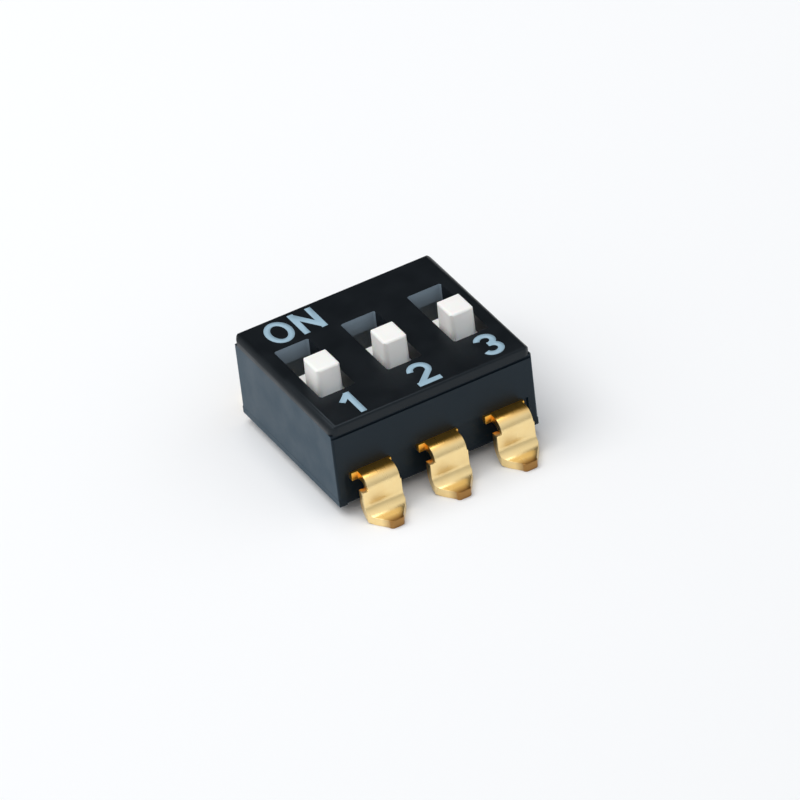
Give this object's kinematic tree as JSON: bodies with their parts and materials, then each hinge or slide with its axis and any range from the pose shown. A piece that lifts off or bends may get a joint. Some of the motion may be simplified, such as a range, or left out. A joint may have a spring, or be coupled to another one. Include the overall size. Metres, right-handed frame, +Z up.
{
  "type": "slide dip switch",
  "caption": "Low black slide switch block on gold gull-wing solder feet: a slotted cover on a moulded base, with white thumb sliders whose springs bridge pairs of fixed contacts.",
  "frame": {"origin": "middle of the package on the plane that the solder feet stand on", "axes": "+X along the row of positions, +Y along the sliders' travel from OFF to ON, +Z up through the cover"},
  "size_m": [0.0076, 0.0098, 0.0043],
  "materials": {
    "cover_plastic": "fine grained black moulding",
    "base_plastic": "satin black moulding",
    "slider_plastic": "white moulding",
    "contact_spring": "bright spring strip",
    "gold_plating": "gold plated strip"
  },
  "bodies": {
    "housing": {"cover": "cover_plastic", "base": "base_plastic", "front_terminal_1": "gold_plating", "front_terminal_2": "gold_plating", "front_terminal_3": "gold_plating", "rear_terminal_1": "gold_plating", "rear_terminal_2": "gold_plating", "rear_terminal_3": "gold_plating"},
    "slider_1": {"slider_1": "slider_plastic", "bridge_contact_1": "contact_spring"},
    "slider_2": {"slider_2": "slider_plastic", "bridge_contact_2": "contact_spring"},
    "slider_3": {"slider_3": "slider_plastic", "bridge_contact_3": "contact_spring"}
  },
  "joints": [
    {"name": "slider_1_travel", "type": "slide", "parent": "housing", "child": "slider_1", "axis": [0, 1, 0], "range_m": [0, 0.00122]},
    {"name": "slider_2_travel", "type": "slide", "parent": "housing", "child": "slider_2", "axis": [0, 1, 0], "range_m": [0, 0.00122]},
    {"name": "slider_3_travel", "type": "slide", "parent": "housing", "child": "slider_3", "axis": [0, 1, 0], "range_m": [0, 0.00122]}
  ]
}
